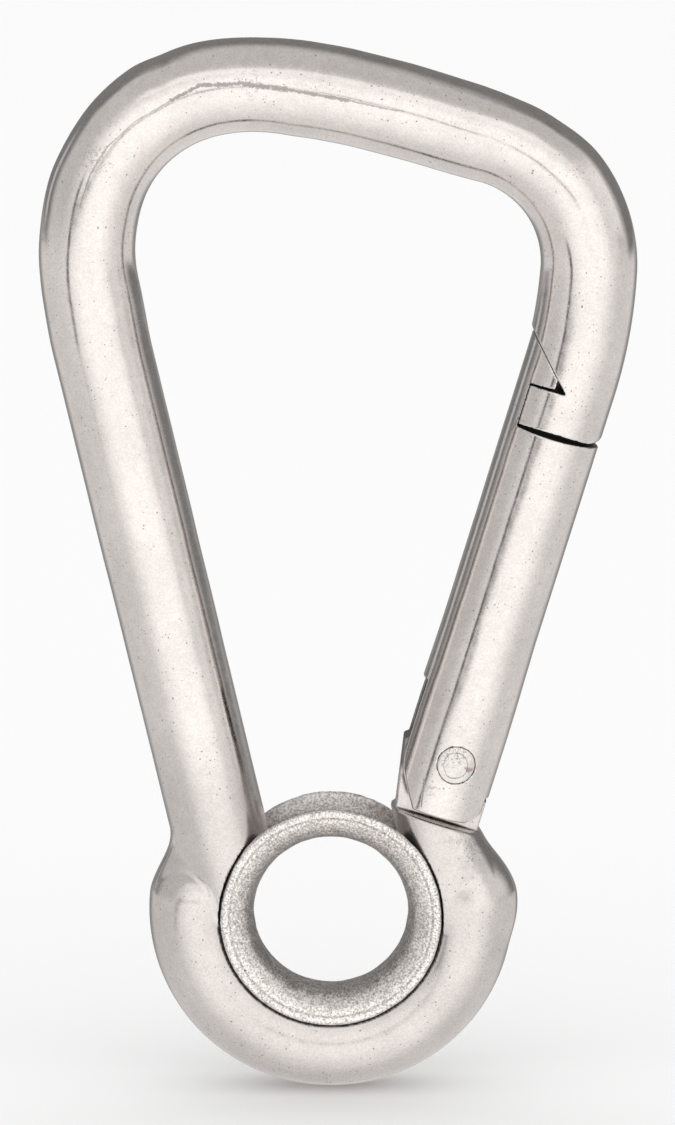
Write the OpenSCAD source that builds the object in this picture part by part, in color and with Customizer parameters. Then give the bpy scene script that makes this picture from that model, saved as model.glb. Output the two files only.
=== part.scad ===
// Spring-gate snap hook with a captive round eyelet.
// Origin: centre of the eyelet's hole. +Z towards the crown, +Y out of the
// back face, gate on the +X side. Millimetres.

/* [Hook] */
// Diameter of the round bar that the hook is bent from
bar_d = 10.8; // [10.6:0.1:11]
// Diameter of the bar where it wraps round the eyelet
loop_bar_d = 10.7; // [10.5:0.1:10.7]
// Length of the straight sloping run between the nose bend and the crown
crown_run = 22.4; // [20.4:0.5:25.4]
// Bend radius of the nose, to the bar's centre line
nose_bend_r = 14.7; // [14:0.1:15.4]

/* [Gate] */
// Gap between the gate's top face and the nose's end face
nose_gap = 0.6; // [0.5:0.05:0.7]
// Width of the slot in the gate's lower end
slot_w = 4.3; // [4.2:0.05:4.5]
// Thickness of the body's tongue that the gate straddles
tongue_t = 4.0; // [3.6:0.1:4.1]
// Diameter of the hinge pin
pin_d = 3.2; // [2.8:0.1:3.3]
// Radial running clearance of the pin in the tongue
pin_play = 0.05; // [0.02:0.01:0.1]

/* [Gate closer] */
// Diameter of the spring wire
wire_d = 0.5; // [0.4:0.05:0.55]
// Number of turns in the spring
spring_turns = 12; // [9:1:14]
// Depth of the spring bore above the top of the slot
bore_depth = 19.5; // [18.5:0.25:21]

/* [Eyelet] */
// Diameter of the eyelet's hole
eye_bore_d = 18; // [16:0.25:18.2]
// Diameter over the eyelet's flanges
eye_flange_d = 25.2; // [24.8:0.1:25.2]
// Width of the eyelet along its axis
eye_w = 10.8; // [10.6:0.1:11]
// Length of the narrowest, straight part of the eyelet's hole
throat = 3.4; // [2.8:0.2:4.2]
// Gap all round between the eyelet's groove and the hook's bar
groove_play = 0.1; // [0.06:0.01:0.14]

/* [Hidden] */
$fn = 96;
e = 0.01;
bar_r = bar_d / 2;
loop_r = loop_bar_d / 2;
eye_ring_r = 15.4;

// Gate frame: x = outward from the gate's centre line, z = along it.
gate_lean = 17;
gate_off = 7.7;
gate_s0 = 14.7;
nose_s = 60.2;
gate_s1 = nose_s - nose_gap;
shoulder_s = 13.8;
bend_s = 65.1;
pivot_p = 0.6;
pivot_s = 21.1;
pin_r = pin_d / 2;
head_r = pin_r + 0.5;
slot_top = 28.9;
hub_r = 3.2;

// Cam that lifts the plunger: lift per radian of gate swing.
cam_k = 3.0;
tip_r = 1.0;
tip_gap = 0.03;
tip_a = -2.0;
tip_b = 3.3;
cam_end = 46;
tip_p = pivot_p + tip_a;
tip_s = pivot_s + tip_b;
collar_r = 1.5;
bore_r = 1.55;
collar_s = 30.2;
collar_h = 2.0;
bore_top = slot_top + bore_depth;

function world(p, s) = [cos(gate_lean) * (gate_off + p) + sin(gate_lean) * s,
                        -sin(gate_lean) * (gate_off + p) + cos(gate_lean) * s];
function left(h) = [-sin(h), cos(h)];
function ahead(h) = [cos(h), sin(h)];

// Centre line of the hook, from the nose over the crown and down the spine.
h0 = 90 - gate_lean;
sweep1 = 13;
r1 = 58;
sweep2 = 80;
sweep3 = 117.2;
r3 = 19;
p0 = world(0, bend_s);
c1 = p0 + r1 * left(h0);
h1 = h0 + sweep1;
p1 = c1 - r1 * left(h1);
c2 = p1 + nose_bend_r * left(h1);
h2 = h1 + sweep2;
p2 = c2 - nose_bend_r * left(h2);
p3 = p2 + crown_run * ahead(h2);
c3 = p3 + r3 * left(h2);
h3 = h2 + sweep3;
p4 = c3 - r3 * left(h3);
spine_len = (p4[1] - 1.5) / -sin(h3);

module in_gate() rotate([0, gate_lean, 0]) translate([gate_off, 0, 0]) children();
module at_pivot() in_gate() translate([pivot_p, 0, pivot_s]) rotate([90, 0, 0]) children();
// A ball at each change of bend joins the lengths of bar into one solid.
module knot(p, rad) translate([p[0], 0, p[1]]) sphere(r = rad + 0.015);
module slab(pts, w) rotate([90, 0, 0]) linear_extrude(height = w, center = true) polygon(pts);
module bend(c, r, h, sweep, rad)
  translate([c[0], 0, c[1]]) rotate([90, 0, 0]) rotate([0, 0, h - 90])
    rotate_extrude(angle = sweep, $fn = 192) translate([r, 0]) circle(r = rad);
module bar(from, h, len, ra, rb)
  translate([from[0], 0, from[1]]) rotate([0, 90 - h, 0]) cylinder(r1 = ra, r2 = rb, h = len);

// Where the plunger's tip touches the cam, seen from the tongue.
function cam_at(f) = let(
    b = tip_b + cam_k * f * PI / 180,
    n = sqrt(pow(tip_a + cam_k, 2) + b * b),
    g = tip_r + tip_gap,
    x = tip_a - g * (tip_a + cam_k) / n,
    y = b - g * b / n)
  [x * cos(f) - y * sin(f), x * sin(f) + y * cos(f)];

module tongue()
  at_pivot() difference() {
    union() {
      linear_extrude(height = tongue_t, center = true)
        polygon(concat(
          [[3.9, -9.8], [4.8, -7.3], [4.8, -3.7], [3.15, -3.7], [3.15, -0.4], [0, 0]],
          [for (i = [0 : 23]) cam_at(cam_end * i / 23)],
          [[-6.1, 0.6], [-4.6, -7.3], [-2.1, -9.8]]));
      cylinder(r = hub_r, h = tongue_t, center = true);
    }
    translate([tip_a, tip_b, 0]) cylinder(r = tip_r + tip_gap, h = tongue_t + 2, center = true);
    cylinder(r = pin_r + pin_play, h = tongue_t + 2, center = true);
  }

// The bar narrows from the eyelet loop up to the shoulder under the gate.
module neck()
  difference() {
    bar([eye_ring_r * cos(4), eye_ring_r * sin(4)], 104.1, 15, loop_r, loop_r - 0.75);
    in_gate() translate([-20, -20, shoulder_s]) cube([40, 40, 30]);
    slab([[22.0, 0.336], [14.52, 13.2], [30, 13.2], [30, 0.336]], 40);
  }

module eyelet_room()
  rotate([90, 0, 0]) difference() {
    cylinder(r = 12.7, h = 11.3, center = true);
    rotate_extrude($fn = 192) translate([eye_ring_r, 0]) circle(r = loop_r + 0.03);
  }

module body() color("silver") difference() {
  union() {
    in_gate() translate([0, 0, nose_s]) cylinder(r = bar_r, h = bend_s - nose_s);
    bend(c1, r1, h0, sweep1, bar_r);
    bend(c2, nose_bend_r, h1, sweep2, bar_r);
    bar(p2, h2, crown_run, bar_r, bar_r);
    bend(c3, r3, h2, sweep3, bar_r);
    bar(p4, h3, spine_len, bar_r, bar_r);
    bend([0, 0], eye_ring_r, 266, 188, loop_r);
    for (p = [p0, p1, p2, p3, p4]) knot(p, bar_r);
    for (a = [176, 4]) knot(eye_ring_r * [cos(a), sin(a)], loop_r);
    neck();
    tongue();
  }
  in_gate() slab([[-0.2, 64.8], [-4.15, 64.56], [-4.15, 59], [-7.5, 59], [-7.5, 72.36]], 30);
  eyelet_room();
}

module gate() color("gainsboro") in_gate() difference() {
  union() {
    intersection() {
      translate([0, 0, gate_s0]) cylinder(r = bar_r, h = gate_s1 - gate_s0);
      slab(concat([[-2.4, gate_s0], [3.0, gate_s0]],
                  [for (i = [1 : 9]) [3.0 + 2.4 * sin(10 * i), gate_s0 + 2.4 * (1 - cos(10 * i))]],
                  [[6, gate_s0 + 2.6], [6, 61], [-6, 61], [-6, 18.9]]), 30);
    }
    intersection() {
      translate([0, 0, 59]) cylinder(r = bar_r, h = 14);
      slab([[-7.5, 58], [-4.3, 58], [-4.3, 64.86], [-1.5, 65.1], [-1.5, 66.05], [-7.5, 72.2]], 30);
    }
  }
  translate([-8, -slot_w / 2, 12]) cube([12, slot_w, slot_top - 12]);
  translate([0, -slot_w / 2, 12]) cube([8, slot_w, 5.6]);
  translate([tip_p, 0, slot_top - 1]) cylinder(r = bore_r, h = bore_depth + 1);
  translate([pivot_p, 0, pivot_s]) rotate([90, 0, 0]) {
    cylinder(r = pin_r, h = 14, center = true);
    for (m = [0, 1]) mirror([0, 0, m]) translate([0, 0, 4.0]) cylinder(r1 = pin_r, r2 = pin_r + 1, h = 2);
  }
}

module hinge_pin() color("darkgray") in_gate() intersection() {
  translate([pivot_p, 0, pivot_s]) rotate([90, 0, 0]) {
    cylinder(r = pin_r, h = 12, center = true);
    for (m = [0, 1]) mirror([0, 0, m]) translate([0, 0, 4.0]) cylinder(r1 = pin_r, r2 = pin_r + 1, h = 2);
  }
  cylinder(r = bar_r - 0.02, h = 40);
}

module spring_plunger() color("dimgray") in_gate() translate([tip_p, 0, 0]) {
  translate([0, 0, tip_s]) sphere(r = tip_r);
  translate([0, 0, tip_s]) cylinder(r = tip_r, h = collar_s - tip_s + 0.5);
  translate([0, 0, collar_s]) cylinder(r = collar_r, h = collar_h);
  translate([0, 0, collar_s + 0.5]) cylinder(r = 0.6, h = collar_h + 3.5);
}

// Closed-end compression spring: one dead turn at each end.
coil_r = collar_r - wire_d / 2;
coil_s0 = collar_s + collar_h + 0.03 + wire_d / 2;
coil_s1 = bore_top - 0.03 - wire_d / 2;
dead = wire_d * 1.06;
pitch = (coil_s1 - coil_s0 - 2 * dead) / (spring_turns - 2);
function coil_z(t) = t < 1 ? dead * t
  : t > spring_turns - 1 ? (coil_s1 - coil_s0) - dead * (spring_turns - t)
  : dead + pitch * (t - 1);
seg = 20;
ring = 8;
module gate_spring() color("lightsteelblue") in_gate() translate([tip_p, 0, coil_s0]) {
  n = spring_turns * seg;
  polyhedron(
    points = [for (i = [0 : n], j = [0 : ring - 1]) let(
        t = i / seg, a = 360 * t, q = 360 * j / ring,
        r = coil_r + wire_d / 2 * cos(q))
      [r * cos(a), r * sin(a), coil_z(t) + wire_d / 2 * sin(q)]],
    faces = concat(
      [[for (j = [0 : ring - 1]) j]],
      [[for (j = [0 : ring - 1]) n * ring + ring - 1 - j]],
      [for (i = [0 : n - 1], j = [0 : ring - 1]) let(k = (j + 1) % ring)
        [i * ring + j, (i + 1) * ring + j, (i + 1) * ring + k]],
      [for (i = [0 : n - 1], j = [0 : ring - 1]) let(k = (j + 1) % ring)
        [i * ring + j, (i + 1) * ring + k, i * ring + k]]));
}

// Grooved round eyelet that the hook's loop is closed round. Its hole is a
// short throat that flares out to both faces.
mouth_r = eye_w / 2 - throat / 2;
module eyelet() color("darkgray") rotate([90, 0, 0]) difference() {
  rotate_extrude($fn = 192) intersection() {
    union() {
      for (m = [-1, 1]) translate([eye_bore_d / 2 + mouth_r, m * throat / 2]) circle(r = mouth_r);
      translate([eye_bore_d / 2, -throat / 2]) square([2 * mouth_r, throat]);
      translate([eye_bore_d / 2 + mouth_r, -eye_w / 2]) square([mouth_r, eye_w]);
    }
    polygon([[eye_bore_d / 2 - 1, -eye_w], [eye_flange_d / 2 - 1, -eye_w],
             [eye_flange_d / 2 - 0.3, -eye_w / 2 + 0.05], [eye_flange_d / 2, -eye_w / 2 + 0.35],
             [eye_flange_d / 2, eye_w / 2 - 0.35], [eye_flange_d / 2 - 0.3, eye_w / 2 - 0.05],
             [eye_flange_d / 2 - 1, eye_w], [eye_bore_d / 2 - 1, eye_w]]);
  }
  rotate_extrude($fn = 192) translate([eye_ring_r, 0]) circle(r = loop_r + groove_play);
}

body();
eyelet();
gate();
hinge_pin();
gate_spring();
spring_plunger();
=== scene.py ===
import math

import bpy
import numpy as np
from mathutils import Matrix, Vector


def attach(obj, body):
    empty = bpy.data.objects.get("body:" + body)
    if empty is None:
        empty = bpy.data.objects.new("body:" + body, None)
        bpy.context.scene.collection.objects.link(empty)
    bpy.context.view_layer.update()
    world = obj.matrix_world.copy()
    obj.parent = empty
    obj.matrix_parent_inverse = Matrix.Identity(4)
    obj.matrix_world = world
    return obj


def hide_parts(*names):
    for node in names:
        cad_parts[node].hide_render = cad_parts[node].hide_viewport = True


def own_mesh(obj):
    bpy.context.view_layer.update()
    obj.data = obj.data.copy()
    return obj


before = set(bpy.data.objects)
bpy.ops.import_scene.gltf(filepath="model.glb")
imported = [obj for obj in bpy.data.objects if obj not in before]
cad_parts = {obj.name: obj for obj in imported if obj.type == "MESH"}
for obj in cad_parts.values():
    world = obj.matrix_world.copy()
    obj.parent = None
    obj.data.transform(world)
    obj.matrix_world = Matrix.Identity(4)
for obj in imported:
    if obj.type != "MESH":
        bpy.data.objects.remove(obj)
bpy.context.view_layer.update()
MM = 0.001

# ---------------------------------------------------------------- layout, mm
LEAN = math.radians(17.0)          # lean of the gate's centre line
OFF = 7.7                          # its distance from the eyelet's centre
NX, NZ = math.cos(LEAN), -math.sin(LEAN)
UX, UZ = math.sin(LEAN), math.cos(LEAN)
PIV = (0.6, 21.1)                  # hinge in gate coordinates (p, s)
RING = 15.4                        # centre line of the loop round the eyelet
NOSE_S, GATE_S0, GATE_S1 = 60.2, 14.7, 59.6
SHOULDER_S = 13.8
SLOT_TOP = 28.9
TIP_P = PIV[0] - 2.0
TIP_S = PIV[1] + 3.3


def rad(a):
    return math.radians(a)


def world2(p, s):
    return np.array([NX * (OFF + p) + UX * s, NZ * (OFF + p) + UZ * s])


def world3(p, s, y=0.0):
    q = world2(p, s)
    return np.array([q[0], y, q[1]])


def ps(x, z):
    return x * NX + z * NZ - OFF, x * UX + z * UZ


def left(h):
    return np.array([-math.sin(rad(h)), math.cos(rad(h))])


def ahead(h):
    return np.array([math.cos(rad(h)), math.sin(rad(h))])


H0 = 73.0
R1, SW1, R2, SW2, RUN, R3, SW3 = 58.0, 13.0, 14.7, 80.0, 22.4, 19.0, 117.2
P0 = world2(0, 65.1)
C1 = P0 + R1 * left(H0)
H1 = H0 + SW1
P1 = C1 - R1 * left(H1)
C2 = P1 + R2 * left(H1)
H2 = H1 + SW2
P2 = C2 - R2 * left(H2)
P3 = P2 + RUN * ahead(H2)
C3 = P3 + R3 * left(H2)
H3 = H2 + SW3
P4 = C3 - R3 * left(H3)
P5 = P4 + ahead(H3) * ((P4[1] - 1.5) / -math.sin(rad(H3)))


# ------------------------------------------------------- distance functions
def seg2(x, z, a, b):
    dx, dz = b[0] - a[0], b[1] - a[1]
    t = np.clip(((x - a[0]) * dx + (z - a[1]) * dz) / (dx * dx + dz * dz), 0, 1)
    return np.hypot(x - a[0] - t * dx, z - a[1] - t * dz)


def arc2(x, z, c, r, a0, a1):
    am, ah = rad((a0 + a1) / 2), rad(abs(a1 - a0) / 2)
    dx, dz = x - c[0], z - c[1]
    u = dx * math.cos(am) + dz * math.sin(am)
    v = np.abs(-dx * math.sin(am) + dz * math.cos(am))
    inside = v * math.cos(ah) - u * math.sin(ah) <= 0
    return np.where(inside, np.abs(np.hypot(u, v) - r),
                    np.hypot(u - r * math.cos(ah), v - r * math.sin(ah)))


def poly2(x, z, pts):
    pts = np.asarray(pts, float)
    d = np.full(x.shape, 1e9)
    inside = np.zeros(x.shape, bool)
    n = len(pts)
    for i in range(n):
        a, b = pts[i], pts[(i + 1) % n]
        ex, ez = b[0] - a[0], b[1] - a[1]
        wx, wz = x - a[0], z - a[1]
        t = np.clip((wx * ex + wz * ez) / (ex * ex + ez * ez), 0, 1)
        d = np.minimum(d, (wx - t * ex) ** 2 + (wz - t * ez) ** 2)
        if ez != 0:
            cross = ((a[1] > z) != (b[1] > z)) & (x < ex * (z - a[1]) / ez + a[0])
            inside ^= cross
    return np.where(inside, -1, 1) * np.sqrt(d)


def cut(a, b, r):
    """Intersection with its edge rounded to radius r."""
    return np.minimum(-r, np.maximum(a, b)) + np.hypot(np.maximum(r + a, 0), np.maximum(r + b, 0))


def join(a, b, r):
    """Union with its inside corner filled to radius r."""
    return np.maximum(r, np.minimum(a, b)) - np.hypot(np.maximum(r - a, 0), np.maximum(r - b, 0))


def smooth(lo, hi, v):
    t = np.clip((v - lo) / (hi - lo), 0, 1)
    return t * t * (3 - 2 * t)


def lattice(i, j, k, seed):
    h = (i.astype(np.int64) * 374761393 + j.astype(np.int64) * 668265263
         + k.astype(np.int64) * 2147483647 + seed * 974634777) & 0xFFFFFFFF
    h = ((h ^ (h >> 13)) * 1274126177) & 0xFFFFFFFF
    return ((h ^ (h >> 16)) & 0xFFFF) / 32767.5 - 1.0


def noise(p, cell, seed):
    q = p / cell + 100.0
    i = np.floor(q)
    f = q - i
    f = f * f * f * (f * (f * 6 - 15) + 10)
    i = i.astype(np.int64)
    out = 0
    for a in (0, 1):
        for b in (0, 1):
            for c in (0, 1):
                w = ((f[:, 0] if a else 1 - f[:, 0]) * (f[:, 1] if b else 1 - f[:, 1])
                     * (f[:, 2] if c else 1 - f[:, 2]))
                out = out + w * lattice(i[:, 0] + a, i[:, 1] + b, i[:, 2] + c, seed)
    return out


# ------------------------------------------------------------ shapes, in mm
def hump(a, b, c, d, v):
    return smooth(a, b, v) * smooth(d, c, v)


def bar_radius(x, z):
    r = 5.43 + 0.07 * smooth(18, 50, z) - 0.27 * smooth(64, 88, z)
    return r - 0.22 * hump(15, 21, 25, 31, x) * smooth(80, 90, z)


def latch_edge(p, s):
    """Edge radius along the latch: nearly sharp on the upright face."""
    return 0.12 - 0.09 * smooth(0.5, 0.2, np.abs(p + 4.18)) * smooth(60.3, 60.7, s) * smooth(64.4, 64.0, s)


NOTCH = [(-0.2, 64.8), (-4.15, 64.56), (-4.15, 57), (-9, 57), (-9, 73.91)]
HOOK = [(-9, 56), (-4.21, 56), (-4.21, 64.7), (-1.5, 65.02), (-1.5, 66.09), (-9, 73.79)]
SLOT = [(-9, 8), (9, 8), (9, 17.6), (4.0, 17.6), (4.0, SLOT_TOP), (-9, SLOT_TOP)]
FOOT = ([(-2.6, GATE_S0), (3.0, GATE_S0)]
        + [(3.0 + 2.4 * math.sin(rad(10 * i)), GATE_S0 + 2.4 * (1 - math.cos(rad(10 * i)))) for i in range(1, 10)]
        + [(9, GATE_S0 + 2.6), (9, 70), (-9, 70), (-9, 25.5), (-5.4, 20.4), (-4.85, 18.3)])


def cam_at(f):
    b = 3.3 + 3.0 * rad(f)
    n = math.hypot(1.0, b)
    x, y = -2.0 - 1.03 / n, b - 1.03 * b / n
    c, s = math.cos(rad(f)), math.sin(rad(f))
    return (x * c - y * s, x * s + y * c)


TONGUE = ([(3.9, -9.8), (4.8, -7.3), (4.8, -3.7), (3.15, -3.7), (3.15, -0.4), (0, 0)]
          + [cam_at(46 * i / 23) for i in range(24)]
          + [(-6.25, 0.6), (-4.85, -7.3), (-2.1, -9.8)])


def f_tongue(x, y, z):
    p, s = ps(x, z)
    u, v = p - PIV[0], s - PIV[1]
    t = np.minimum(poly2(u, v, TONGUE), np.hypot(u, v) - 3.2)
    t = np.maximum(t, 1.03 - np.hypot(u + 2.0, v - 3.3))
    t = cut(t, np.abs(y) - 2.0, 0.22)
    return np.maximum(t, 1.65 - np.hypot(u, v))


def f_body(q):
    x, y, z = q[:, 0], q[:, 1], q[:, 2]
    p, s = ps(x, z)
    r = bar_radius(x, z)
    # the bends are not true arcs: small drifts of the centre line
    rise = (0.42 * hump(-31, -26, -22.5, -18.5, x) - 0.32 * hump(-18, -9, -8, -1.5, x)
            + 0.45 * hump(-5, 3, 8, 18, x) - 0.28 * hump(16.5, 22, 25, 31, x))
    zc = z - rise * smooth(80, 90, z)
    xl = x - 0.42 * hump(64, 73, 77, 86, z) * smooth(0, -15, x)
    d = np.minimum(seg2(x, z, world2(0, 48), P0), arc2(x, z, C1, R1, H0 - 90, H1 - 90))
    d = np.minimum(d, arc2(x, zc, C2, R2, H1 - 90, H2 - 90))
    # end face slightly crowned, its outer corner worn round
    end = NOSE_S - 0.38 * (p / 5.4) ** 2 - s
    nose = cut(np.hypot(d, y) - r, end, 0.16 + 1.04 * smooth(3.6, 5.2, p))
    d = np.minimum(seg2(x, zc, P2, P3), arc2(xl, zc, C3, R3, H2 - 90, H3 - 90))
    d = np.minimum(d, seg2(xl, z, P4, P5))
    bar = np.minimum(nose, np.hypot(d, y) - r)
    bar = cut(bar, -poly2(p, s, NOTCH), latch_edge(p, s))
    loop = np.hypot(arc2(x, z, (0, 0), RING, 175.5, 364), y) - 5.35
    # neck: narrows to the shoulder, mostly on its outer side
    a = np.array([RING * math.cos(rad(4)), RING * math.sin(rad(4))])
    h = ahead(104.1)
    t = (x - a[0]) * h[0] + (z - a[1]) * h[1]
    out_ = (x - a[0]) * h[1] - (z - a[1]) * h[0]
    tc = np.clip(t, 0, 15)
    rn = 5.35 - 0.05 * tc
    flat = 5.6 - 0.288 * tc
    half = np.minimum(0.5 * (rn + flat - np.sqrt((rn - flat) ** 2 + 0.25)) + 0.08, rn)
    lat = np.where(out_ > 0, out_ * rn / half, out_)
    lat = np.where(out_ < 0, out_ * rn / (rn + 0.9), lat)
    side = (np.abs(lat) ** 2.6 + np.abs(y) ** 2.6) ** (1 / 2.6)
    neck = np.hypot(t - tc, side) - rn
    neck = cut(neck, s - SHOULDER_S, 0.3)
    # fillets only towards the silhouette; the front and back faces already run into each other
    edge = smooth(4.6, 1.5, np.abs(y))
    foot = join(loop, neck, 0.4 + 1.6 * edge)
    foot = join(foot, f_tongue(x, y, z), 0.3)
    out = join(bar, foot, 0.35 + 3.2 * smooth(-4, -13, x) * edge)
    # room for the eyelet
    rr = np.hypot(x, z)
    room = np.maximum(rr - 12.7, np.abs(y) - 8.0)
    room = np.maximum(room, 5.38 - np.hypot(rr - RING, y))
    out = cut(out, -room, 0.12)
    return out + 0.022 * noise(q, 7.0, 3) + 0.007 * noise(q, 2.2, 5)


def f_gate(q):
    x, y, z = q[:, 0], q[:, 1], q[:, 2]
    p, s = ps(x, z)
    rod = np.hypot(p, y) - 5.45 - 0.2 * smooth(38, 24, s)
    u, v = p - PIV[0], s - PIV[1]
    top = GATE_S1 + 0.15 * (p / 5.4) ** 2
    out = cut(cut(rod, s - top, 0.14), poly2(p, s, FOOT), 0.3)
    hook = cut(rod, poly2(p, s, HOOK), latch_edge(p, s))
    out = np.minimum(out, hook)
    slot = cut(poly2(p, s, SLOT), np.abs(y) - 2.15, 0.15)
    out = cut(out, -slot, 0.22)
    bore = np.maximum(np.hypot(p - TIP_P, y) - 1.55, np.maximum(26 - s, s - 48.4))
    out = np.maximum(out, -bore)
    axis = np.hypot(u, v)
    hole = np.where(np.abs(y) > 3.6, axis - 2.16, axis - 1.62)
    out = cut(out, -hole, 0.08)
    return out + 0.02 * noise(q, 6.5, 13) + 0.007 * noise(q, 2.2, 15)


def f_rivet(q):
    x, y, z = q[:, 0], q[:, 1], q[:, 2]
    p, s = ps(x, z)
    u, v = p - PIV[0], s - PIV[1]
    axis = np.hypot(u, v)
    head = cut(axis - 2.13, 3.6 - np.abs(y), 0.1)
    shank = np.maximum(axis - 1.6, np.abs(y) - 5)
    out = np.minimum(head, shank)
    # peened over: a slightly sunk, uneven centre inside a raised ring
    wob = 0.16 * noise(q, 1.1, 27)
    sunk = 0.15 * smooth(1.52, 1.34, axis + wob)
    out = cut(out, np.hypot(p, y) - 5.64 + sunk, 0.12)
    return out + 0.028 * noise(q, 0.9, 23)


def f_eyelet(q):
    x, y, z = q[:, 0], q[:, 1], q[:, 2]
    rr = np.hypot(x, z)
    ay = np.abs(y)
    # short throat flaring out to both faces, a narrow land round the rim
    yt = y + 1.0
    big = np.where(yt < 0, 3.6, 5.7)
    flare = np.hypot(np.minimum(rr - 8.8 - big, 0), np.maximum(np.abs(yt) - 0.8, 0)) - big
    flare = flare + 0.07 * np.exp(-((rr - 11.5) / 0.16) ** 2)
    shell = cut(flare, ay - 5.3, 0.1)
    shell = cut(shell, rr - 12.55, 0.5)
    groove = 5.45 - np.hypot(rr - RING, y)
    out = cut(shell, groove, 0.22)
    lap = np.exp(-((np.hypot(x - 5.5, z + 9.3) - 1.4) / 0.9) ** 2)
    return out + (0.03 + 0.03 * lap) * noise(q, 1.5, 33) + 0.02 * noise(q, 0.6, 35)


# --------------------------------------------------------------- mesh makers
def surface(f, lo, hi, h):
    """Mesh of f = 0: naive surface nets on an h grid, then pulled onto the surface."""
    lo, hi = np.array(lo, float), np.array(hi, float)
    block = 6
    n = (np.ceil((hi - lo) / h / block).astype(int)) * block
    nb = n // block
    c = [lo[a] + (np.arange(nb[a]) + 0.5) * block * h for a in range(3)]
    centre = np.stack(np.meshgrid(*c, indexing="ij"), -1).reshape(-1, 3)
    coarse = f(centre).reshape(nb)
    near = np.abs(coarse) < block * h * 0.87 + 0.45
    grow = np.zeros_like(near)
    pad = np.pad(near, 1)
    for i in range(3):
        for j in range(3):
            for k in range(3):
                grow |= pad[i:i + nb[0], j:j + nb[1], k:k + nb[2]]
    big = coarse.astype(np.float32)
    use = grow
    for a in range(3):
        big, use = np.repeat(big, block, a), np.repeat(use, block, a)
    idx = np.argwhere(use)
    vals = np.empty(len(idx), np.float32)
    for s in range(0, len(idx), 400000):
        vals[s:s + 400000] = f(lo + idx[s:s + 400000] * h)
    big[use] = vals
    inside = big < 0
    m = np.array(big.shape) - 1
    corners = [(i, j, k) for i in (0, 1) for j in (0, 1) for k in (0, 1)]
    count = np.zeros(m, np.int8)
    for i, j, k in corners:
        count += inside[i:i + m[0], j:j + m[1], k:k + m[2]]
    active = (count > 0) & (count < 8)
    cells = np.argwhere(active)
    vid = np.full(m, -1, np.int64)
    vid[active] = np.arange(len(cells))
    val = {c3: big[cells[:, 0] + c3[0], cells[:, 1] + c3[1], cells[:, 2] + c3[2]].astype(float) for c3 in corners}
    acc, num = np.zeros((len(cells), 3)), np.zeros(len(cells))
    for a in range(3):
        for c3 in corners:
            if c3[a]:
                continue
            d3 = list(c3)
            d3[a] = 1
            va, vb = val[c3], val[tuple(d3)]
            hit = (va < 0) != (vb < 0)
            t = np.where(hit, va / np.where(hit, va - vb, 1), 0)
            pos = np.tile(np.array(c3, float), (len(cells), 1))
            pos[:, a] = t
            acc += pos * hit[:, None]
            num += hit
    verts = lo + (cells + acc / num[:, None]) * h
    faces = []
    for a in range(3):
        b, c = (a + 1) % 3, (a + 2) % 3
        sl0 = [slice(0, None)] * 3
        sl1 = [slice(0, None)] * 3
        sl0[a], sl1[a] = slice(0, -1), slice(1, None)
        s0, s1 = inside[tuple(sl0)], inside[tuple(sl1)]
        e = np.argwhere(s0 != s1)
        e = e[(e[:, b] > 0) & (e[:, c] > 0) & (e[:, b] < m[b]) & (e[:, c] < m[c])]
        quad = []
        for ob, oc in ((-1, -1), (0, -1), (0, 0), (-1, 0)):
            g = e.copy()
            g[:, b] += ob
            g[:, c] += oc
            quad.append(vid[g[:, 0], g[:, 1], g[:, 2]])
        quad = np.stack(quad, 1)
        flip = ~s0[e[:, 0], e[:, 1], e[:, 2]]
        quad[flip] = quad[flip][:, ::-1]
        faces.append(quad)
    faces = np.concatenate(faces)
    faces = faces[(faces >= 0).all(1)]
    for _ in range(3):
        g, d = gradient(f, verts, 0.02), f(verts)
        step = (d / np.maximum((g * g).sum(1), 0.25))[:, None] * g
        size = np.linalg.norm(step, axis=1, keepdims=True)
        verts = verts - step * np.minimum(1, 0.5 * h / np.maximum(size, 1e-9))
    return verts, faces


def gradient(f, p, e):
    g = np.empty_like(p)
    for a in range(3):
        d = np.zeros(3)
        d[a] = e
        g[:, a] = (f(p + d) - f(p - d)) / (2 * e)
    return g


def make(name, verts, faces, normals=None):
    me = bpy.data.meshes.new(name)
    me.vertices.add(len(verts))
    me.vertices.foreach_set("co", (np.asarray(verts) * MM).astype(np.float32).ravel())
    faces = np.asarray(faces)
    me.loops.add(faces.size)
    me.loops.foreach_set("vertex_index", faces.astype(np.int32).ravel())
    me.polygons.add(len(faces))
    me.polygons.foreach_set("loop_start", np.arange(0, faces.size, faces.shape[1], dtype=np.int32))
    me.update(calc_edges=True)
    me.validate()
    me.polygons.foreach_set("use_smooth", np.ones(len(me.polygons), bool))
    if normals is not None:
        nn = normals / np.maximum(np.linalg.norm(normals, axis=1, keepdims=True), 1e-9)
        me.normals_split_custom_set_from_vertices([tuple(v) for v in nn])
    o = bpy.data.objects.new(name, me)
    bpy.context.scene.collection.objects.link(o)
    return o


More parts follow.
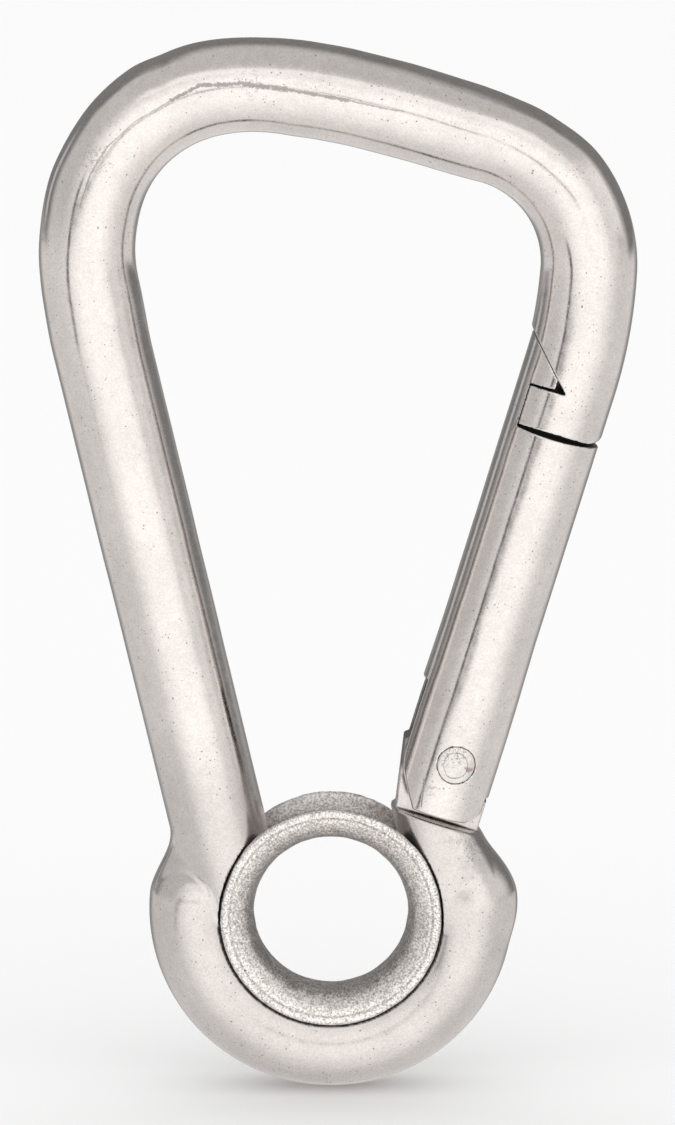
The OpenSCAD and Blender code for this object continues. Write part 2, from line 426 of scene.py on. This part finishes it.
def carve(name, f, lo, hi, h, extra=None):
    verts, faces = surface(f, lo, hi, h)
    nrm = gradient(f, verts, 0.03)
    nrm /= np.maximum(np.linalg.norm(nrm, axis=1, keepdims=True), 1e-9)
    o = make(name, verts, faces, nrm)
    # how closed in each spot is: painted shade goes where a neighbour is less than a millimetre off
    room = np.full(len(verts), 9.0)
    ahead_ = verts + 0.85 * nrm
    for g in (f_body, f_gate, f_eyelet):
        room = np.minimum(room, g(ahead_))
    painted_crevice_shade = smooth(0.5, 0.15, room)
    p, s = ps(verts[:, 0], verts[:, 2])
    # less painted shade on the shoulder under the gate, so it stays half bright
    painted_crevice_shade *= 1 - 0.92 * smooth(2.0, 1.0, np.abs(s - 14.2)) * smooth(-7, -6, p)
    # and less on the latch's sliding faces
    painted_crevice_shade *= 1 - 0.97 * smooth(-3.8, -4.0, p) * smooth(60.4, 60.9, s) * smooth(64.45, 64.2, s)
    # less painted shade just above the latch and round the hinge on the outer faces
    painted_crevice_shade *= 1 - 0.85 * smooth(65.6, 66.2, s) * smooth(-0.6, -1.2, p)
    painted_crevice_shade *= 1 - 0.55 * smooth(2.6, 2.4, np.hypot(p - PIV[0], s - PIV[1])) * smooth(4.4, 4.8, np.abs(verts[:, 1]))
    # plus the part's own mask of painted shade
    if extra is not None:
        painted_crevice_shade = np.maximum(painted_crevice_shade, extra(verts))
    # the painted shade goes to the material as a vertex attribute
    att = o.data.attributes.new("painted_crevice_shade", "FLOAT", "POINT")
    att.data.foreach_set("value", painted_crevice_shade.astype(np.float32))
    return o


# painted shade inside the gate's slot
def slot_painted_shade(q):
    p, s = ps(q[:, 0], q[:, 2])
    deep = 4.2 + 0.9 * smooth(18.2, 17.8, s)
    return 0.95 * smooth(2.32, 2.2, np.abs(q[:, 1])) * smooth(SLOT_TOP + 0.3, SLOT_TOP, s) * smooth(deep + 0.3, deep, p)


# painted shade in the eyelet's throat and, lighter, on the flare, both fading towards the bottom; a thin ring of
# painted shade at the crease near the rim
def throat_painted_shade(q):
    rr = np.hypot(q[:, 0], q[:, 2])
    shade_fade_below = smooth(-1, -8, q[:, 2])
    inner = 0.62 * smooth(9.75, 9.25, rr) * (1 - 0.6 * shade_fade_below)
    inner += 0.12 * smooth(11.4, 11.1, rr) * smooth(9.25, 9.75, rr) * (1 - shade_fade_below)
    return np.maximum(inner, 0.5 * np.exp(-((rr - 11.5) / 0.13) ** 2) * smooth(4.2, 4.6, np.abs(q[:, 1])))


# painted shade on the tongue's edge, where it stands back beside the slot wall
def tongue_painted_shade(q):
    p, s = ps(q[:, 0], q[:, 2])
    u, v = p - PIV[0], s - PIV[1]
    on = smooth(0.15, 0.05, np.abs(f_tongue(q[:, 0], q[:, 1], q[:, 2])))
    return on * 0.9 * smooth(-3.2, -2.2, v) * smooth(-4.0, -4.8, u)


def grid_faces(n, m, wrap_n):
    i, j = np.meshgrid(np.arange(n if wrap_n else n - 1), np.arange(m), indexing="ij")
    i, j = i.ravel(), j.ravel()
    i2, j2 = (i + 1) % n, (j + 1) % m
    return np.stack([i * m + j, i2 * m + j, i2 * m + j2, i * m + j2], 1)


def spring():
    """Coil with a dead turn at each end, wire section swept along it."""
    wire, coil = 0.25, 1.25
    s0, s1, turns, seg, ring = 32.2 + 0.28, SLOT_TOP + 19.5 - 0.28, 12, 36, 14
    dead = 0.53
    pitch = (s1 - s0 - 2 * dead) / (turns - 2)
    n = turns * seg + 1
    pts = []
    for i in range(n):
        t = i / seg
        z = dead * t if t < 1 else (s1 - s0) - dead * (turns - t) if t > turns - 1 else dead + pitch * (t - 1)
        a = 2 * math.pi * t
        for j in range(ring):
            q = 2 * math.pi * j / ring
            r = coil + wire * math.cos(q)
            w = world3(TIP_P + r * math.cos(a), s0 + z + wire * math.sin(q), r * math.sin(a))
            pts.append(w)
    faces = [tuple(f) for f in grid_faces(n, ring, False)]
    me = bpy.data.meshes.new("closing_spring")
    me.from_pydata([tuple(v * MM) for v in pts], [], [tuple(int(k) for k in f[::-1]) for f in faces]
                   + [tuple(range(ring)), tuple(reversed(range((n - 1) * ring, n * ring)))])
    for poly in me.polygons:
        poly.use_smooth = len(poly.vertices) == 4
    o = bpy.data.objects.new("closing_spring", me)
    bpy.context.scene.collection.objects.link(o)
    return o


def turned(name, profile, seg=64):
    """Solid turned about the plunger's line: profile is (radius, s) from end to end, both on the axis."""
    pts, faces = [], []
    ring = [k for k in profile[1:-1]]
    for r, s in ring:
        for j in range(seg):
            a = 2 * math.pi * j / seg
            pts.append(world3(TIP_P + r * math.cos(a), s, r * math.sin(a)))
    for i in range(len(ring) - 1):
        for j in range(seg):
            k = (j + 1) % seg
            faces.append((i * seg + j, (i + 1) * seg + j, (i + 1) * seg + k, i * seg + k))
    lo, hi = len(pts), len(pts) + 1
    pts.append(world3(TIP_P, profile[0][1]))
    pts.append(world3(TIP_P, profile[-1][1]))
    last = (len(ring) - 1) * seg
    for j in range(seg):
        k = (j + 1) % seg
        faces.append((lo, j, k))
        faces.append((hi, last + k, last + j))
    me = bpy.data.meshes.new(name)
    me.from_pydata([tuple(v * MM) for v in pts], [], faces)
    me.update()
    for poly in me.polygons:
        poly.use_smooth = True
    me.set_sharp_from_angle(angle=rad(40))
    o = bpy.data.objects.new(name, me)
    bpy.context.scene.collection.objects.link(o)
    return o


FINE = 0.22
body = carve("hook_body", f_body, (-35, -7, -24), (36, 7, 102), FINE, tongue_painted_shade)
gate = carve("gate_bar", f_gate, (3, -7, 5), (31, 7, 75), 0.17, slot_painted_shade)
eyelet = carve("eyelet_ring", f_eyelet, (-14, -7, -14), (14, 7, 14), 0.14, throat_painted_shade)
rivet = carve("hinge_rivet", f_rivet, (10, -7, 13), (19, 7, 23), 0.1)
coil = spring()
tip = [(0.0, TIP_S - 1.0)] + [(math.sin(rad(a)), TIP_S - math.cos(rad(a))) for a in range(10, 91, 10)]
plunger = turned("spring_plunger_pin", tip + [
    (1.0, 30.05), (1.15, 30.2), (1.4, 30.2), (1.5, 30.3), (1.5, 32.08), (1.38, 32.2), (0.75, 32.2),
    (0.6, 32.35), (0.6, 35.8), (0.45, 36.0), (0.0, 36.0)])

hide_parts("body")
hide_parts("gate")
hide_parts("eyelet")
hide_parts("hinge_pin")
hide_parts("gate_spring")
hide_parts("spring_plunger")
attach(body, "frame")
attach(gate, "gate")
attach(rivet, "gate")
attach(coil, "gate")
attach(eyelet, "eyelet")
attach(plunger, "plunger")
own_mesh(coil)


# ------------------------------------------------------------------ materials
def steel(name, tint, rough, pits=1.0, speckle=0.0, grain=1.0, marks=(), stain=None, painted_shade_and_dull_below=None):
    """Tumbled steel. marks, darkening the front side, mm: ("line", x, z, x, z, width, depth) a dark line, ("rough", x,
    z, radius, depth) a worn patch or ("painted_shade", x, z, radius, depth) a plain patch of painted shade."""
    m = bpy.data.materials.new(name)
    m.use_nodes = True
    nt = m.node_tree
    N, L = nt.nodes, nt.links
    N.clear()
    out = N.new("ShaderNodeOutputMaterial")
    b = N.new("ShaderNodeBsdfPrincipled")
    L.new(b.outputs[0], out.inputs[0])
    b.inputs["Metallic"].default_value = 1.0
    tc = N.new("ShaderNodeTexCoord")

    def tex(scale, detail=3.0, rough_=0.55, kind="ShaderNodeTexNoise", vec=None):
        t = N.new(kind)
        t.inputs["Scale"].default_value = scale
        if kind == "ShaderNodeTexNoise":
            t.inputs["Detail"].default_value = detail
            t.inputs["Roughness"].default_value = rough_
        L.new(vec or tc.outputs["Object"], t.inputs["Vector"])
        return t

    def ramp(src, a, b_, lo=0.0, hi=1.0):
        r = N.new("ShaderNodeMapRange")
        r.interpolation_type = "SMOOTHSTEP"
        r.inputs["From Min"].default_value = a
        r.inputs["From Max"].default_value = b_
        r.inputs["To Min"].default_value = lo
        r.inputs["To Max"].default_value = hi
        L.new(src, r.inputs["Value"])
        return r.outputs[0]

    def math_(op, x, y=0.0):
        n = N.new("ShaderNodeMath")
        n.operation = op
        for i, v in enumerate((x, y)):
            if isinstance(v, (int, float)):
                n.inputs[i].default_value = v
            else:
                L.new(v, n.inputs[i])
        return n.outputs[0]

    blotch = tex(140, 4)          # cloudy tone, about 7 mm
    fine = tex(900, 4, 0.6)       # satin texture, about 1 mm
    micro = tex(4200, 2, 0.6)     # grain, about 0.25 mm
    # pits: uneven cells, only the middle of some of them is cut in
    wob = tex(2600, 2)
    shift = N.new("ShaderNodeVectorMath")
    shift.operation = "MULTIPLY_ADD"
    L.new(wob.outputs["Color"], shift.inputs[0])
    shift.inputs[1].default_value = (0.00032,) * 3
    L.new(tc.outputs["Object"], shift.inputs[2])
    cluster = tex(230, 3).outputs[0]
    pit = None
    for scale, a, b_, few, many in ((2600, 0.10, 0.27, 0.02, 0.34), (1250, 0.07, 0.17, 0.02, 0.16)):
        vor = tex(scale, kind="ShaderNodeTexVoronoi", vec=shift.outputs[0])
        sep = N.new("ShaderNodeSeparateColor")
        L.new(vor.outputs["Color"], sep.inputs[0])
        chosen = math_("LESS_THAN", sep.outputs[0], ramp(cluster, 0.42, 0.68, few, many))
        depth = math_("MULTIPLY", ramp(vor.outputs["Distance"], a, b_, 1.0, 0.0), chosen)
        pit = depth if pit is None else math_("MAXIMUM", pit, depth)
    pit = math_("MULTIPLY", pit, pits)

    # squiggly, torn texture for the rough patches
    sq = tex(1500, 3, 0.6)
    squig = ramp(math_("ABSOLUTE", math_("SUBTRACT", sq.outputs[0], 0.5)), 0.008, 0.03, 1.0, 0.0)
    sep3 = N.new("ShaderNodeSeparateXYZ")
    L.new(tc.outputs["Object"], sep3.inputs[0])
    X, Y, Z = sep3.outputs
    front = math_("LESS_THAN", Y, 0.0)
    # marks on the front: dark lines, patches of painted shade and rough worn patches
    wear_and_painted_shade = None
    for mk in marks:
        if mk[0] == "line":
            _, ax, az_, bx, bz, w, depth = mk
            ln = math.hypot(bx - ax, bz - az_)
            tx, tz = (bx - ax) / ln, (bz - az_) / ln
            dx, dz = math_("SUBTRACT", X, ax * MM), math_("SUBTRACT", Z, az_ * MM)
            along = math_("ADD", math_("MULTIPLY", dx, tx), math_("MULTIPLY", dz, tz))
            over = math_("MAXIMUM", math_("MULTIPLY", along, -1.0), math_("SUBTRACT", along, ln * MM))
            side = math_("ABSOLUTE", math_("SUBTRACT", math_("MULTIPLY", dx, tz), math_("MULTIPLY", dz, tx)))
            d = math_("MAXIMUM", over, side)
            d = math_("ADD", d, math_("MULTIPLY", math_("SUBTRACT", wob.outputs[0], 0.5), w * 2.4 * MM))
            val = ramp(d, w * 0.45 * MM, w * 1.1 * MM, depth, 0.0)
        else:
            _, cx, cz, rad_, depth = mk
            dx, dz = math_("SUBTRACT", X, cx * MM), math_("SUBTRACT", Z, cz * MM)
            d = math_("SQRT", math_("ADD", math_("MULTIPLY", dx, dx), math_("MULTIPLY", dz, dz)))
            d = math_("ADD", d, math_("MULTIPLY", math_("SUBTRACT", fine.outputs[0], 0.5), rad_ * 1.6 * MM))
            val = ramp(d, rad_ * 0.5 * MM, rad_ * 1.05 * MM, depth, 0.0)
            if mk[0] == "rough":
                val = math_("MULTIPLY", val, squig)
        wear_and_painted_shade = val if wear_and_painted_shade is None else math_("MAXIMUM", wear_and_painted_shade, val)
    wear_and_painted_shade = math_("MULTIPLY", wear_and_painted_shade, front) if wear_and_painted_shade is not None else math_("MULTIPLY", front, 0.0)

    # painted crevice shade, read from the mesh attribute
    att = N.new("ShaderNodeAttribute")
    att.attribute_name = "painted_crevice_shade"
    painted_crevice_shade = att.outputs["Fac"]

    tone = ramp(blotch.outputs[0], 0.3, 0.7, 0.955, 1.035)
    tone = math_("MULTIPLY", tone, ramp(micro.outputs[0], 0.3, 0.7, 1 - 0.09 * grain - speckle * 0.5, 1 + 0.05 * grain + speckle * 0.35))
    tone = math_("MULTIPLY", tone, ramp(fine.outputs[0], 0.3, 0.7, 1 - 0.045 - speckle * 0.12, 1.03 + speckle * 0.06))
    if speckle:
        tone = math_("MULTIPLY", tone, math_("SUBTRACT", 1.0, math_("MULTIPLY", squig, 0.5 * speckle)))
    tone = math_("MULTIPLY", tone, math_("SUBTRACT", 1.0, math_("MULTIPLY", pit, 0.6)))
    # below a given height: darker, as painted shade, and rougher
    if painted_shade_and_dull_below:
        low = ramp(Z, painted_shade_and_dull_below[0] * MM, painted_shade_and_dull_below[1] * MM, 1.0, 0.0)
        tone = math_("MULTIPLY", tone, math_("SUBTRACT", 1.0, math_("MULTIPLY", low, painted_shade_and_dull_below[2])))
        # painted shade on the loop's underside, near the floor
        tone = math_("MULTIPLY", tone, ramp(Z, -15.5 * MM, -19.5 * MM, 1.0, 0.92))
    # the marks darken the tone
    tone = math_("MULTIPLY", tone, math_("SUBTRACT", 1.0, math_("MULTIPLY", wear_and_painted_shade, 0.75)))
    # the painted crevice shade darkens the tone
    tone = math_("MULTIPLY", tone, math_("SUBTRACT", 1.0, math_("MULTIPLY", painted_crevice_shade, 0.74)))
    mix = N.new("ShaderNodeMix")
    mix.data_type = "RGBA"
    mix.blend_type = "MULTIPLY"
    mix.inputs[0].default_value = 1.0
    mix.inputs[6].default_value = (*tint, 1)
    comb = N.new("ShaderNodeCombineColor")
    for i in range(3):
        L.new(tone, comb.inputs[i])
    L.new(comb.outputs[0], mix.inputs[7])
    colour = mix.outputs[2]
    if stain:
        cx, cz, rad_, rgb = stain
        dx, dz = math_("SUBTRACT", X, cx * MM), math_("SUBTRACT", Z, cz * MM)
        d = math_("SQRT", math_("ADD", math_("MULTIPLY", dx, dx), math_("MULTIPLY", dz, dz)))
        d = math_("ADD", d, math_("MULTIPLY", math_("SUBTRACT", wob.outputs[0], 0.5), rad_ * 2.0 * MM))
        sm = N.new("ShaderNodeMix")
        sm.data_type = "RGBA"
        L.new(math_("MULTIPLY", ramp(d, rad_ * 0.4 * MM, rad_ * MM, 0.8, 0.0), front), sm.inputs[0])
        L.new(colour, sm.inputs[6])
        sm.inputs[7].default_value = (*rgb, 1)
        colour = sm.outputs[2]
    L.new(colour, b.inputs["Base Color"])
    r = ramp(fine.outputs[0], 0.3, 0.7, rough * 0.8, rough * 1.25)
    if painted_shade_and_dull_below:
        r = math_("ADD", r, math_("MULTIPLY", low, painted_shade_and_dull_below[3]))
    r = math_("ADD", r, math_("MULTIPLY", math_("MAXIMUM", math_("MAXIMUM", pit, wear_and_painted_shade), painted_crevice_shade), 0.3))
    L.new(r, b.inputs["Roughness"])

    height = math_("ADD", math_("MULTIPLY", micro.outputs[0], 0.22 * grain + speckle), math_("MULTIPLY", fine.outputs[0], 0.5 * grain + speckle))
    height = math_("SUBTRACT", height, math_("MULTIPLY", math_("MAXIMUM", pit, wear_and_painted_shade), 1.2))
    bump = N.new("ShaderNodeBump")
    bump.inputs["Strength"].default_value = 0.35 + 0.5 * speckle
    bump.inputs["Distance"].default_value = 0.00003
    L.new(height, bump.inputs["Height"])
    L.new(bump.outputs[0], b.inputs["Normal"])
    return m


WARM = (0.80, 0.757, 0.735)
# painted dark reflection line that runs over the crown, with rough worn patches on it, then a patch of painted shade
# and rough wear on the neck
BODY_MARKS = [("line", -27.8, 80.8, -26.6, 84.3, 0.10, 0.55),
              ("line", -26.6, 84.3, -24.7, 87.4, 0.13, 0.50),
              ("line", -24.7, 87.4, -21.6, 90.2, 0.07, 0.50),
              ("line", -21.6, 90.2, -17.5, 92.6, 0.09, 0.50),
              ("line", -17.5, 92.6, -14.4, 94.2, 0.22, 0.65),
              ("line", -14.4, 94.2, -10.0, 94.4, 0.28, 0.65),
              ("line", -10.0, 94.4, -5.0, 93.8, 0.34, 0.65),
              ("line", -5.0, 93.8, 1.8, 92.6, 0.22, 0.60),
              ("line", 1.8, 92.6, 7.3, 91.4, 0.12, 0.50),
              ("rough", -25.8, 86.0, 2.0, 0.45), ("rough", -9.0, 94.6, 1.6, 0.4),
              ("painted_shade", 17.0, 7.0, 3.0, 0.13), ("rough", 16.4, 7.6, 2.0, 0.6), ("rough", 13.9, 9.0, 1.2, 0.35)]
GATE_MARKS = [("line", 10.5, 16.0, 10.15, 13.0, 0.11, 0.6), ("rough", 11.3, 14.8, 0.8, 0.4),
              ("line", 21.0, 57.0, 20.2, 55.6, 0.09, 0.4)]
RIVET_MARKS = [("rough", 14.1, 19.0, 1.5, 0.7), ("rough", 13.2, 18.2, 1.0, 0.6)]
mats = {
    body: steel("steel_body", WARM, 0.13, marks=BODY_MARKS, painted_shade_and_dull_below=(13.0, 24.0, 0.13, 0.09)),
    gate: steel("steel_gate", tuple(0.98 * v for v in WARM), 0.12, marks=GATE_MARKS),
    eyelet: steel("steel_eyelet_cast", (0.95, 0.90, 0.87), 0.36, pits=1.0, speckle=0.62, grain=1.4),
    rivet: steel("steel_rivet", (0.78, 0.745, 0.722), 0.2, pits=0.6, grain=1.3, marks=RIVET_MARKS,
                 stain=(15.5, 17.2, 0.5, (0.36, 0.24, 0.2))),
    coil: steel("steel_spring_wire", (0.70, 0.69, 0.68), 0.22, pits=0.0),
    plunger: steel("steel_plunger", (0.62, 0.61, 0.60), 0.28, pits=0.3),
}
for o, m in mats.items():
    o.data.materials.clear()
    o.data.materials.append(m)

# -------------------------------------------------------------------- staging
me = bpy.data.meshes.new("floor")
s, zf = 6.0, -20.8 * MM
me.from_pydata([(-s, -s, zf), (s, -s, zf), (s, s, zf), (-s, s, zf)], [], [(0, 1, 2, 3)])
floor = bpy.data.objects.new("floor", me)
bpy.context.scene.collection.objects.link(floor)
fm = bpy.data.materials.new("floor")
fm.use_nodes = True
fb = fm.node_tree.nodes["Principled BSDF"]
fb.inputs["Base Color"].default_value = (0.93, 0.93, 0.93, 1)
fb.inputs["Roughness"].default_value = 0.9
floor.data.materials.append(fm)

floor.visible_glossy = False       # the studio dome below stands for the floor in reflections

scene = bpy.context.scene
scene.view_settings.view_transform = "Standard"


def studio(name):
    """Plain light tent: white for the floor and camera, softly shaped for reflections."""
    w = bpy.data.worlds.new(name)
    w.use_nodes = True
    nt = w.node_tree
    N, L = nt.nodes, nt.links
    N.clear()

    def put(sock, v):
        if isinstance(v, (int, float)):
            sock.default_value = v
        else:
            L.new(v, sock)

    def op(kind, *args, clamp=False):
        n = N.new("ShaderNodeMath")
        n.operation = kind
        n.use_clamp = clamp
        for i, v in enumerate(args):
            put(n.inputs[i], v)
        return n.outputs[0]

    def step(v, a, b, lo=0.0, hi=1.0):
        n = N.new("ShaderNodeMapRange")
        n.interpolation_type = "SMOOTHSTEP"
        put(n.inputs["Value"], v)
        for key, val in (("From Min", a), ("From Max", b), ("To Min", lo), ("To Max", hi)):
            n.inputs[key].default_value = val
        return n.outputs[0]

    def lerp(a, b, t):
        return op("ADD", op("MULTIPLY", a, op("SUBTRACT", 1.0, t)), op("MULTIPLY", b, t))

    tc = N.new("ShaderNodeTexCoord")
    sep = N.new("ShaderNodeSeparateXYZ")
    L.new(tc.outputs["Generated"], sep.inputs[0])
    x, y, z = sep.outputs
    deg = 180 / math.pi
    az = op("MULTIPLY", op("ARCTAN2", x, op("MULTIPLY", y, -1.0)), deg)
    el = op("MULTIPLY", op("ARCSINE", z), deg)
    aaz = op("ABSOLUTE", az)

    base = step(el, -6, 6, SKY["lower"], SKY["upper"])
    base = lerp(base, 0.85, step(el, -22, -34))
    # left lower side is a little dimmer than the right
    base = op("MULTIPLY", base, lerp(1.0, 0.93, op("MULTIPLY", step(az, -60, -110), step(el, 5, -15))))
    # front soft box
    u = op("DIVIDE", op("SUBTRACT", az, 8.0), 62.0)
    v = lerp(op("DIVIDE", op("SUBTRACT", el, 4.0), 80.0), op("DIVIDE", op("SUBTRACT", el, 4.0), 46.0), step(el, 3, 5))
    rr = op("SQRT", op("ADD", op("MULTIPLY", u, u), op("MULTIPLY", v, v)))
    val = lerp(base, SKY["front"], step(rr, 1.25, 0.25))
    flank = op("MULTIPLY", op("MULTIPLY", step(az, 48, 62), step(az, 100, 96)), op("MULTIPLY", step(el, 3, 9), step(el, 44, 30)))
    val = lerp(val, 0.92, flank)
    # dark room behind, above the floor line
    behind = op("MULTIPLY", step(aaz, 98, 118), op("MULTIPLY", step(el, -5, 0), step(el, 76, 50)))
    val = lerp(val, SKY["behind"], behind)
    low = op("MULTIPLY", step(aaz, 128, 150), op("MULTIPLY", step(el, -32, -14), step(el, 0, -4)))
    val = lerp(val, SKY["behind"] * 1.4, low)
    # seam where the tent meets the table
    seam = op("MULTIPLY", op("MULTIPLY", step(el, -1.4, -0.7), step(el, 2.5, 1.8)), op("MULTIPLY", step(az, -42, -39), step(az, 12, 4)))
    seam = op("MULTIPLY", seam, 0.72)
    # its upright part, left of the camera
    off = op("ABSOLUTE", op("SUBTRACT", az, op("ADD", op("MULTIPLY", op("SUBTRACT", el, 1.3), 0.6), -40.5)))
    post = op("MULTIPLY", step(off, 3.6, 2.2), op("MULTIPLY", step(el, -19, -12), step(el, 9, 6)))
    seam = op("MAXIMUM", seam, post)
    val = lerp(val, SKY["seam"], seam)
    # bright upper edge of the front soft box
    edge = op("MULTIPLY", op("MULTIPLY", step(el, 30, 35), step(el, 48, 42)), op("MULTIPLY", step(az, -38, -24), step(az, 48, 34)))
    val = lerp(val, 1.2, op("MULTIPLY", edge, 0.85))
    # and the lit wall right of the camera, low down
    wall = op("MULTIPLY", op("MULTIPLY", step(az, 46, 55), step(az, 79, 70)), op("MULTIPLY", step(el, -3, 0.5), step(el, 11, 6)))
    val = lerp(val, 0.88, wall)

    # a narrow lit strip at the left of the dark room
    strip = op("MULTIPLY", op("MULTIPLY", step(az, -135, -131), step(az, -121, -125)), op("MULTIPLY", step(el, -2, 1), step(el, 22, 14)))
    val = lerp(val, 0.62, strip)

    lp = N.new("ShaderNodeLightPath")
    col = N.new("ShaderNodeCombineColor")
    L.new(val, col.inputs[0])
    L.new(op("MULTIPLY", val, 0.985), col.inputs[1])
    L.new(op("MULTIPLY", val, 0.97), col.inputs[2])
    b0, b1 = N.new("ShaderNodeBackground"), N.new("ShaderNodeBackground")
    b0.inputs[0].default_value = (1, 1, 1, 1)
    b0.inputs[1].default_value = 1.06
    L.new(col.outputs[0], b1.inputs[0])
    mix = N.new("ShaderNodeMixShader")
    L.new(lp.outputs["Is Glossy Ray"], mix.inputs[0])
    L.new(b0.outputs[0], mix.inputs[1])
    L.new(b1.outputs[0], mix.inputs[2])
    out = N.new("ShaderNodeOutputWorld")
    L.new(mix.outputs[0], out.inputs[0])
    return w


SKY = {"upper": 0.63, "lower": 0.79, "front": 1.29, "behind": 0.22, "seam": 0.12}
scene.world = studio("studio")

cam = bpy.data.cameras.new("camera")
cam.lens = 170.2
cam.sensor_width = 36
cam.sensor_fit = "AUTO"
cam.clip_start = 0.01
co = bpy.data.objects.new("camera", cam)
scene.collection.objects.link(co)
aim = Vector((0.742, 0, 39.97)) * MM
el = rad(10)
co.location = aim + 0.6 * Vector((0, -math.cos(el), math.sin(el)))
co.rotation_euler = (aim - co.location).to_track_quat("-Z", "Y").to_euler()
scene.camera = co
